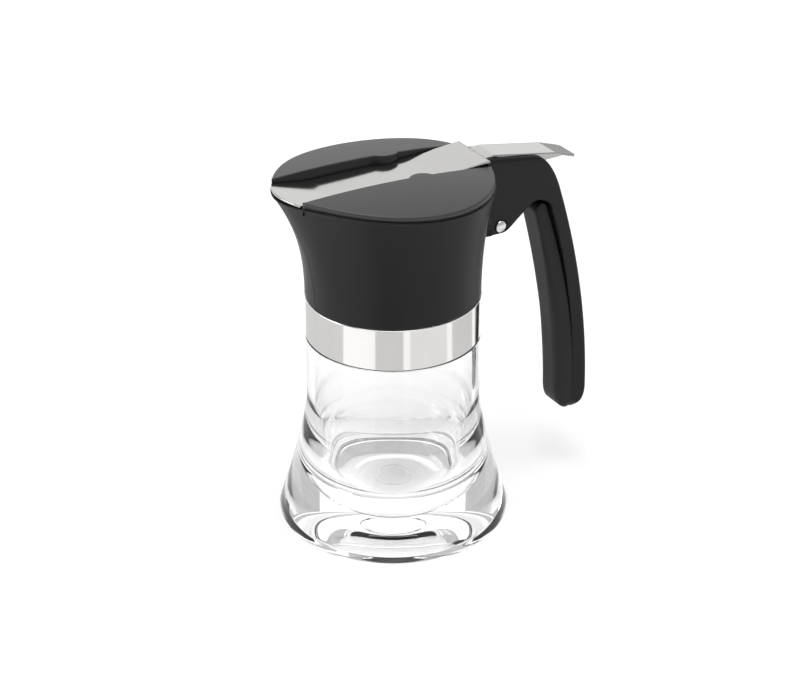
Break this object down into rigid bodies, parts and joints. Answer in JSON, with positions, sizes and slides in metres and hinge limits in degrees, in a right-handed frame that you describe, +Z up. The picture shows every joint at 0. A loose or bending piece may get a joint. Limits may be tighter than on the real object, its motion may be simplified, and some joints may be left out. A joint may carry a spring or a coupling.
{
  "type": "honey dispenser",
  "caption": "Table honey dispenser: flared clear glass jar, polished steel band and a black spouted head with a side handle, whose thumb lever lifts a steel cover off the spout.",
  "frame": {"origin": "centre of the jar's foot, on the surface it stands on", "axes": "+Z up along the jar's axis, -X towards the spout, +X towards the handle, +Y across"},
  "size_m": [0.1351, 0.09, 0.1469],
  "materials": {
    "clear_glass": "clear, smooth",
    "polished_steel": "polished",
    "head_plastic": "satin black",
    "lid_plastic": "satin black",
    "soft_grip": "soft matt black",
    "cover_steel": "bright rolled sheet"
  },
  "bodies": {
    "dispenser": {"jar": "clear_glass", "collar_band": "polished_steel", "head": "head_plastic", "lid": "lid_plastic", "grip_insert": "soft_grip", "pivot_pin": "polished_steel"},
    "cover": {"cover_plate": "cover_steel", "thumb_lever": "cover_steel"}
  },
  "joints": [
    {"name": "cover_rock", "type": "hinge", "parent": "dispenser", "child": "cover", "pos_m": [0.0428, 0, 0.1151], "axis": [0, 1, 0], "range_deg": [0, 7], "stiffness_Nm_per_rad": 0.4, "springref_deg": -11.46}
  ]
}
